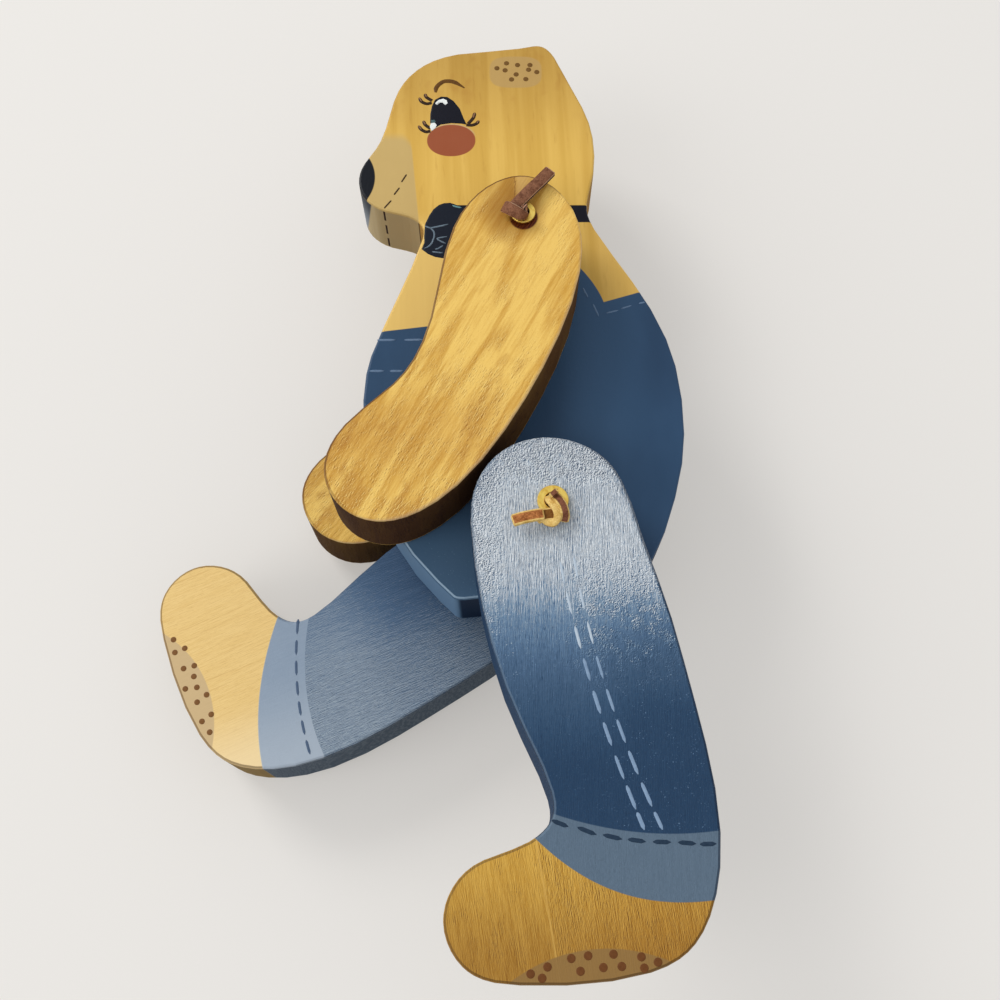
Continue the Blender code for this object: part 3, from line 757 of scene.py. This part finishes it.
# Left and right leg stitches
# A double row of long pale stitches runs down the outside of each thigh, a dark row round each cuff,
# and brown dots are dabbed on the sole pads.
STITCH_LONG = 4.9
CUFF_TOP = -72.4


def seam_row(starts, widths, bend):
    """Stitches from their starts down a curve x = a + b y + c y2, none of them past the cuff's top."""
    dabs = []
    for start, width in zip(starts, widths):
        marks = np.linspace(start, max(start - STITCH_LONG, CUFF_TOP), 4)
        dabs.append(stroke([(bend[0] + bend[1] * y + bend[2] * y**2, y) for y in marks], width,
                           (0.45, 0.25)))
    return dabs


LEFT_CURVE = (-0.638, -0.1195, 0.001906)
RIGHT_CURVE = (3.165, -0.07375, 0.002537)
upper_seams = seam_row((-14.4, -21.4, -29.2), (0.65, 0.65, 0.75), LEFT_CURVE)
upper_seams += seam_row((-13.2, -20.4, -28.2), (0.65, 0.65, 0.65), RIGHT_CURVE)
lower_seams = seam_row((-36.3, -43.4, -50.2, -57.2, -63.4, -68.9), (0.8, 0.95, 0.9, 0.8, 0.9, 1.0),
                       LEFT_CURVE)
lower_seams += seam_row((-35.8, -43.0, -49.6, -56.2, -62.8, -68.8), (0.7, 0.75, 0.8, 0.9, 0.9, 0.9),
                        RIGHT_CURVE)
left_cuff = [stroke(pair, 1.08, (0.25, 0.1)) for pair in (
    [(-1.2, -70.5), (2.2, -71.8)], [(4.1, -71.9), (8.0, -73.4)], [(9.4, -73.4), (13.3, -74.3)],
    [(14.5, -74.3), (18.2, -74.8)], [(19.7, -74.8), (23.4, -74.9)], [(24.9, -74.9), (28.6, -75.2)],
    [(29.4, -75.3), (32.8, -75.2)])]
right_cuff = []
for start in (-1.4, 3.6, 8.6, 13.6, 18.6, 23.4, 28.4):
    marks = [start, start + 1.8, start + 3.6]
    right_cuff.append(stroke([(x, -69.5 - 0.399 * x + 0.00626 * x**2) for x in marks], 0.8, (0.4, 0.2)))
left_dots = [dot(at, 0.92) for at in (
    (-5.9, -100.3), (-3.6, -101.1), (-2.5, -99.0), (2.3, -97.4), (5.7, -96.9), (4.1, -99.8),
    (8.7, -99.1), (10.8, -96.6), (12.4, -98.9), (16.4, -97.1), (16.9, -99.2), (19.7, -98.1))]
right_dots = [dot(at, 0.76) for at in (
    (-7.0, -100.0), (-3.9, -97.9), (-3.7, -100.5), (1.2, -96.8), (1.0, -99.5), (3.8, -97.6), (6.1, -100.4),
    (6.7, -97.6), (9.3, -95.8), (10.3, -98.5), (14.4, -96.0), (15.3, -98.6), (18.5, -97.5))]
for leg, pin, turn, cuff, thread, dots, dot_paint in (
        ("left_leg", HIP, 0.0, left_cuff, dark_thread, left_dots, brown_dots),
        ("right_leg", RIGHT_LEG_PIN, -RIGHT_LEG_TURN, right_cuff, soft_thread, right_dots, soft_dots)):
    low, high = (corner.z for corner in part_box(leg))
    outside, away = (high, 1) if leg == "left_leg" else (low, -1)
    for part, seams, paint in (("upper", upper_seams, upper_seam_paint),
                               ("lower", lower_seams, lower_seam_paint)):
        brush_on(f"{leg}_{part}_seam_stitches", seams, paint, leg, pin, turn, outside, away)
    for side, face, up in (("near", high, 1), ("far", low, -1)):
        brush_on(f"{leg}_{side}_cuff_stitches", cuff, thread, leg, pin, turn, face, up)
        brush_on(f"{leg}_{side}_sole_dots", dots, dot_paint, leg, pin, turn, face, up)

# Face, bow and overalls stitches
# The eye with its lashes and brow, the mouth's stitches, the ear's dots and the bow are painted on both
# faces of the head. Blue thread runs in two rows across the front of the bib, along its back and up the strap.
eye = [blob([(-31.4, 117.6), (-31.4, 120.6), (-31.0, 123.2), (-30.2, 125.4), (-28.5, 126.5),
             (-26.7, 126.4), (-24.9, 125.0), (-23.1, 122.4), (-22.0, 119.2), (-21.1, 117.0),
             (-22.5, 117.3), (-25.4, 117.5), (-28.4, 117.0), (-30.3, 115.6)], (1.0, 0.96, 0.88))]
eye_whites = [blob([(-30.1, 124.1), (-29.2, 125.2), (-27.9, 125.7), (-26.8, 125.2), (-26.5, 124.1),
                    (-27.2, 123.5), (-28.0, 124.3), (-28.7, 124.3), (-29.5, 123.5)]),
              blob([(-31.1, 117.5), (-30.1, 117.8), (-29.4, 116.9), (-29.8, 115.9), (-30.8, 115.0),
                    (-31.4, 116.2)])]
eye_teals = [blob([(-31.1, 118.5), (-30.2, 118.7), (-29.7, 118.0), (-30.2, 117.5), (-30.9, 117.5)])]
lash_lines = (
    [(-32.9, 127.3), (-32.5, 126.2), (-30.9, 125.0)],
    [(-34.5, 126.0), (-33.8, 124.7), (-32.4, 124.0), (-31.0, 124.3)],
    [(-33.2, 118.3), (-32.6, 117.0), (-31.2, 115.8)],
    [(-34.5, 116.7), (-33.6, 115.4), (-32.3, 114.7), (-31.2, 115.0)],
    [(-19.0, 121.0), (-19.4, 119.3), (-20.8, 117.4)],
    [(-17.9, 118.4), (-18.4, 117.5), (-19.7, 116.9), (-21.3, 117.0)])
lashes = [stroke(line, 1.15, (0.5, 1.0)) for line in lash_lines]
lash_tips = [stroke(line[:2], 0.40, (0.6, 0.3)) for line in lash_lines]
brow = [stroke([(-30.0, 127.8), (-29.7, 129.6), (-28.1, 131.3), (-26.3, 131.6), (-24.5, 131.1),
                (-21.9, 129.3)], 1.5, (0.5, 0.25))]
mouth = [stroke(line, 0.55, (0.6, 0.6)) for line in (
    [(-37.4, 100.9), (-38.7, 98.5)], [(-39.2, 96.7), (-40.6, 94.5)], [(-41.3, 92.7), (-43.1, 90.3)])]
ear = [dot(at, 0.78) for at in (
    (-12.9, 136.0), (-10.2, 137.7), (-10.6, 135.3), (-7.1, 137.1), (-7.5, 133.9), (-8.8, 132.2),
    (-4.8, 132.3), (-3.6, 137.1), (-4.0, 135.5), (-1.7, 134.7))]
bow = [blob([(-32.1, 85.4), (-31.0, 88.2), (-29.9, 90.1), (-28.5, 91.4), (-27.1, 92.0), (-25.4, 92.1),
             (-24.0, 91.6), (-21.0, 89.8), (-18.5, 87.4), (-17.0, 84.5), (-18.5, 80.0), (-22.0, 76.5),
             (-25.0, 75.0), (-27.1, 74.8), (-29.2, 75.2), (-31.1, 76.1), (-32.9, 77.6), (-32.2, 79.6),
             (-32.2, 82.1)], (1.0, 0.97, 0.90))]
bow_lines = [stroke(line, width, (0.5, 0.3)) for width, line in (
    (0.55, [(-32.1, 84.8), (-30.7, 84.2), (-29.4, 84.4), (-27.7, 84.8), (-25.8, 85.3)]),
    (0.5, [(-30.7, 84.2), (-29.7, 83.1), (-29.5, 81.7), (-29.8, 80.5), (-30.2, 79.4), (-31.1, 78.4),
           (-32.1, 77.9)]),
    (0.45, [(-26.1, 81.5), (-28.2, 81.1), (-28.6, 80.7), (-27.4, 79.9), (-26.4, 79.4)]),
    (0.45, [(-27.1, 78.8), (-28.2, 78.0), (-29.2, 77.6)]),
    (0.5, [(-30.0, 76.9), (-28.5, 76.7), (-27.1, 76.5)]))]
bow_glints = [stroke([(-24.8, 91.1), (-23.6, 90.7), (-22.4, 90.4)], 0.5, (0.4, 0.3))]
bib_thread = (
    [(-43.6, 50.9), (-38.9, 50.9)], [(-36.7, 50.9), (-31.8, 51.0)], [(-29.5, 51.2), (-25.0, 51.6)],
    [(-45.3, 42.1), (-41.6, 42.1)], [(-40.1, 42.1), (-36.7, 42.1)], [(-34.6, 42.1), (-30.4, 42.1)])
strap_thread = (
    [(15.6, 58.7), (18.7, 59.5)], [(19.5, 60.0), (22.2, 60.9)], [(24.1, 61.5), (25.8, 61.9)],
    [(12.2, 61.3), (13.6, 57.7)], [(9.7, 66.1), (10.9, 63.3)], [(6.9, 70.6), (8.7, 68.0)])
thread = [stroke(line, width, (0.35, 0.25)) for width, lines in ((0.72, bib_thread), (0.5, strap_thread))
          for line in lines]
low, high = (corner.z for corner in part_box("body_board"))
for side, face, up in (("near", high, 1), ("far", low, -1)):
    for name, dabs, finish in (("eye", eye, pupil_black), ("lashes", lashes, lash_brown),
                               ("brow", brow, brow_brown), ("mouth", mouth, mouth_brown),
                               ("ear_dots", ear, ear_dots), ("bow", bow, bow_navy),
                               ("overalls_stitches", thread, pale_thread)):
        brush_on(f"{side}_{name}", dabs, finish, "body", HIP, 0.0, face, up)
    for name, dabs, finish in (("eye_lights", eye_whites, eye_white), ("eye_glow", eye_teals, eye_teal),
                               ("lash_tips", lash_tips, lash_tip), ("bow_lines", bow_lines, bow_light),
                               ("bow_glints", bow_glints, bow_glint)):
        brush_on(f"{side}_{name}", dabs, finish, "body", HIP, 0.0, face + up * PROUD, up)

# Brass washers
# Four flat rings punched from brass sheet and a little tarnished.
# One lies on the outside of each limb, so that the knots can't pull through.
brass_finish, brass_shader, place = begin_finish("punched_brass")
spot = from_pin(place, HIP)[0]
tarnish = grain(spot, 20.0, 1.2, 2.0, 3.0)
scratch = grain(spot, 65.0, 0.08, 2.0, 2.0)
brass = laid_over(fade(tarnish, 0.35, 0.7), tint(252, 220, 118), tint(228, 184, 84))
feed(brass_shader, Base_Color=brass, Roughness=0.34 + tarnish * 0.18,
     Normal=relief(place, tarnish * 0.6 + scratch * 0.4, 0.4, 0.00015))
brass_shader.inputs["Metallic"].default_value = 1.0
for name in ("left_shoulder_washer", "right_shoulder_washer", "left_hip_washer", "right_hip_washer"):
    put_on(name, brass_finish)

# Laces
# One flat leather lace at each joint passes through the three boards and is knotted over both washers.
# Its two faces are dyed brown. At the hip the strip that rises from the hole is painted a greyer, darker
# brown, a painted reflection and shade, and the strip tucked under the loop a darker brown still, a painted
# shade.
# The edges were cut after dyeing and show the hide, which is pale at the hip and rosy with dark ends at the
# shoulder.
# There the cut sides are dark as well, and the inner turn is painted in the same dark, a painted shade.

# Points are x, y and height in mm from the pin and the washer's face,
# the roll off level in degrees or None where it is free to turn, and the strip's width
SHOULDER_KNOT = [(.3, -.4, -1.2, None, 1.5), (.55, -.75, -.4, None, 1.3), (.65, -1.4, .5, None, 1.6),
                 (.2, -1.95, 1.35, None, 2.2), (-.9, -1.9, 2.0, -38, 2.9), (-2.2, -1.25, 2.2, -38, 3.1),
                 (-3.3, -.45, 1.95, -35, 3.1), (-4.1, .3, 1.4, -30, 3.0), (-4.6, .85, .6, -25, 2.8)]
SHOULDER_TURN = [(.5, .1, -1.2, None, 1.6), (.5, .15, -.3, None, 1.6), (.2, .4, .5, None, 1.8),
                 (-.6, 1.3, .8, 0, 2.0), (-1.3, 2.2, .8, 0, 2.0)]
SHOULDER_TAIL = [(-3.1, -.2, .9, 0, 2.7), (-1.95, 1.1, .9, 0, 2.9), (-.6, 2.6, 1.0, 0, 3.1),
                 (2.0, 5.55, 1.05, 0, 3.1), (4.5, 8.3, 1.0, 0, 3.1), (6.8, 10.9, 1.1, 0, 3.1)]
HIP_KNOT = [(.1, .4, -1.0, None, 2.3), (.1, .55, .2, None, 2.3), (.25, .45, 1.0, None, 2.3),
            (.7, .0, 1.75, -5, 2.3), (1.3, -.9, 2.3, -12, 2.3), (2.0, -2.1, 2.2, -18, 2.3),
            (2.45, -3.4, 1.8, -20, 2.3), (2.55, -4.5, 1.2, -20, 2.3), (2.35, -5.2, .6, -20, 2.2)]
HIP_LOOP = [(-.9, .2, -.8, None, 1.8), (-.95, .1, .3, None, 1.6), (-.9, -.6, 1.3, -90, 1.0),
            (-.15, -1.75, 1.9, -90, 1.0), (.55, -2.9, 2.05, -90, 1.0), (.9, -4.15, 2.0, -90, 1.0),
            (.75, -5.3, 1.8, -90, 1.0), (0, -6.05, 1.5, -90, 1.0), (-1.1, -5.85, 1.2, -90, 1.0),
            (-1.9, -5.2, .9, -90, 1.0)]
HIP_TUCK = [(-3.6, -4.55, .9, 0, 3.0), (-2.2, -4.15, 1.2, 0, 3.0), (-.9, -3.95, 1.25, 0, 3.0),
            (.4, -3.8, 1.2, 0, 3.0)]
HIP_TAIL = [(-2.45, -4.15, 2.05, 0, 2.8), (-4.5, -4.5, 2.1, 0, 2.8), (-6.8, -4.95, 2.0, 0, 2.8),
            (-9.0, -5.6, 1.9, 0, 2.8)]


def lace_frames(line, marks):
    """Side vectors that twist as little as they can between marks of (index, roll off level in degrees)."""
    ahead = np.gradient(line, axis=0)
    ahead /= np.linalg.norm(ahead, axis=1)[:, None]
    side = np.cross(ahead[0], (1.0, 0.0, 0.0) if abs(ahead[0][0]) < 0.9 else (0.0, 1.0, 0.0))
    sides = [side / np.linalg.norm(side)]
    for direction in ahead[1:]:
        side = sides[-1] - direction * (direction @ sides[-1])
        sides.append(side / np.linalg.norm(side))
    misses = []
    for index, roll in marks:
        direction = ahead[index]
        flat = np.cross((0.0, 0.0, 1.0), direction)
        flat /= np.linalg.norm(flat)
        angle = math.radians(roll)
        wanted = flat * math.cos(angle) + np.cross(direction, flat) * math.sin(angle)
        miss = math.atan2(np.cross(sides[index], wanted) @ direction, sides[index] @ wanted)
        if misses:
            miss += math.pi * round((misses[-1] - miss) / math.pi)
        misses.append(miss)
    along = np.r_[0.0, np.cumsum(np.linalg.norm(np.diff(line, axis=0), axis=1))]
    twists = np.interp(along, [along[index] for index, _ in marks], misses)
    sides = [s * math.cos(t) + np.cross(d, s) * math.sin(t) for s, d, t in zip(sides, ahead, twists)]
    return ahead, np.array(sides)


def strip_section(half, thick, rim, drop):
    """The outline of a cut end, whose corners are eased by rim across the strip and by drop through it."""
    a, b = half, thick / 2
    corner = [(a, b - drop), (a - rim * 0.3, b - drop * 0.3), (a - rim, b)]
    upper = corner + [(-p, q) for p, q in corner[::-1]]
    return upper + [(-p, -q) for p, q in upper]


def strip_rings(points, thick, rim, fine=8):
    """Rings of a flat strip with eased corners and ends."""
    line = smooth_line([point[:3] for point in points], fine)
    marks = [(i * fine, point[3]) for i, point in enumerate(points) if point[3] is not None]
    ahead, sides = lace_frames(line, marks)
    halves = np.interp(np.arange(len(line)) / fine, np.arange(len(points)),
                       [point[4] / 2 for point in points])
    drop = 0.26 * thick
    rings = []
    for centre, direction, side, half in zip(line, ahead, sides, halves):
        through = np.cross(direction, side)
        rings.append([centre + side * p + through * q for p, q in strip_section(half, thick, rim, drop)])
    for at, way in ((0, -1), (-1, 1)):
        through = np.cross(ahead[at], sides[at])
        small = strip_section(halves[at] - rim, thick - 2 * drop, rim * 0.3, drop * 0.3)
        centre = line[at] + ahead[at] * way * drop
        ring = [centre + sides[at] * p + through * q for p, q in small]
        rings = [ring] + rings if way < 0 else rings + [ring]
    return np.array(rings)


def on_side(points, span, up):
    """Drawn points on the near side, or turned about the x axis on to the far side."""
    if up > 0:
        return [(x, y, height + span, roll, wide) for x, y, height, roll, wide in points]
    return [(x, -y, -height, roll, wide) for x, y, height, roll, wide in points]


CUT_SIDES = (5, 11)


def knotted_lace(name, pin, base, span, strips, rim, dyed, finishes):
    """The lace as one piece. base is the far washer's outer face, and span in mm reaches to the near one's.

    Each strip is its points, its thickness and the numbers of its dyed finish and of its rim's finish.
    The first goes through the boards. dyed lists a strip's dyed sides; the last finish is for the cut ones.
    """
    knot, thick, *numbers = strips[0]
    far_knot = [(x, y, height, None if roll is None else -roll, wide)
                for x, y, height, roll, wide in on_side(knot, span, -1)[::-1]]
    made = [(strip_rings(far_knot + on_side(knot, span, 1), thick, rim), *numbers)]
    for points, thick, *numbers in strips[1:]:
        for up in (1, -1):
            made.append((strip_rings(on_side(points, span, up), thick, rim), *numbers))
    mesh = bmesh.new()
    start = np.array([*pin, base])
    for rings, face_finish, rim_finish in made:
        rows = [[mesh.verts.new(point / 1000 + start) for point in ring] for ring in rings]
        count = len(rows[0])
        for step, (one, two) in enumerate(zip(rows, rows[1:])):
            for i in range(count):
                face = mesh.faces.new((one[i], one[(i + 1) % count], two[(i + 1) % count], two[i]))
                ends = step in (0, len(rows) - 2)
                face.material_index = rim_finish if ends or i not in dyed else face_finish
                if i in CUT_SIDES and not ends:
                    face.material_index = len(finishes) - 1
        for ring in (rows[0][::-1], rows[-1]):
            mesh.faces.new(ring).material_index = len(finishes) - 1
    bmesh.ops.recalc_face_normals(mesh, faces=mesh.faces)
    data = bpy.data.meshes.new(name)
    mesh.to_mesh(data)
    mesh.free()
    data.shade_smooth()
    data.set_sharp_from_angle(angle=math.radians(42.0))
    piece = bpy.data.objects.new(name, data)
    bpy.context.scene.collection.objects.link(piece)
    for finish in finishes:
        data.materials.append(finish)
    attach(piece, "body")
    return piece


def hide(name, light, dark, roughness):
    """Leather with its nap and creases, from its light tone to its dark one."""
    finish, shader, place = begin_finish(name)
    spot = from_pin(place, HIP)[0]
    nap = grain(spot, 0.0, 0.30, 0.30, 3.0, 0.7)
    crease = grain(spot, 0.0, 1.6, 1.6, 2.0)
    leather = laid_over(fade(nap * 0.6 + crease * 0.4, 0.36, 0.64), dark, light)
    feed(shader, Base_Color=leather, Roughness=roughness + nap * 0.2,
         Normal=relief(place, nap, 0.6, 0.0002))
    shader.inputs["Specular IOR Level"].default_value = 0.25
    return finish


purple_face = hide("purple_brown_dyed_hide", tint(146, 100, 74), tint(98, 60, 42), 0.6)
orange_face = hide("orange_brown_dyed_hide", tint(202, 132, 76), tint(130, 74, 38), 0.6)
# Painted reflection and shade: the hip strip that rises from the hole is a greyer, darker brown. Painted
# shade: the strip tucked under the hip loop is darker still.
hip_riser_reflection_and_shade = hide("hip_hide_painted_reflection_and_shade", tint(150, 98, 74), tint(108, 66, 46), 0.6)
hip_tuck_shaded = hide("hip_tuck_painted_shade_hide", tint(136, 92, 42), tint(104, 64, 26), 0.6)
pink_line = hide("pale_line_of_hide", tint(214, 172, 138), tint(176, 132, 102), 0.7)
dark_and_shaded_cut = hide("dark_and_shaded_cut_hide", tint(92, 70, 64), tint(58, 42, 40), 0.7)
pale_cut = hide("pale_cut_hide", tint(240, 208, 134), tint(204, 162, 84), 0.7)
washer_low = {joint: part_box(f"right_{joint}_washer")[0].z for joint in ("shoulder", "hip")}
washer_high = {joint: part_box(f"left_{joint}_washer")[1].z for joint in ("shoulder", "hip")}
span = {joint: (washer_high[joint] - washer_low[joint]) * 1000 for joint in washer_low}
# The shoulder lace's inner turn is all in the dark cut hide, a painted shade.
lace = knotted_lace(
    "shoulder_lace_tied", SHOULDER, washer_low["shoulder"], span["shoulder"],
    strips=[(SHOULDER_KNOT, 1.1, 1, 0), (SHOULDER_TURN, 1.0, 2, 2), (SHOULDER_TAIL, 1.5, 1, 0)],
    rim=0.28, dyed=(1, 2, 3, 7, 8, 9), finishes=(pink_line, purple_face, dark_and_shaded_cut))
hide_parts("shoulder_lace")
lace = knotted_lace(
    "hip_lace_tied", HIP, washer_low["hip"], span["hip"],
    strips=[(HIP_KNOT, 1.0, 2, 0), (HIP_LOOP, 1.8, 1, 0), (HIP_TUCK, 1.1, 3, 0), (HIP_TAIL, 1.2, 1, 0)],
    rim=0.42, dyed=(2, 8), finishes=(pale_cut, orange_face, hip_riser_reflection_and_shade, hip_tuck_shaded, pale_cut))
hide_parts("hip_lace")
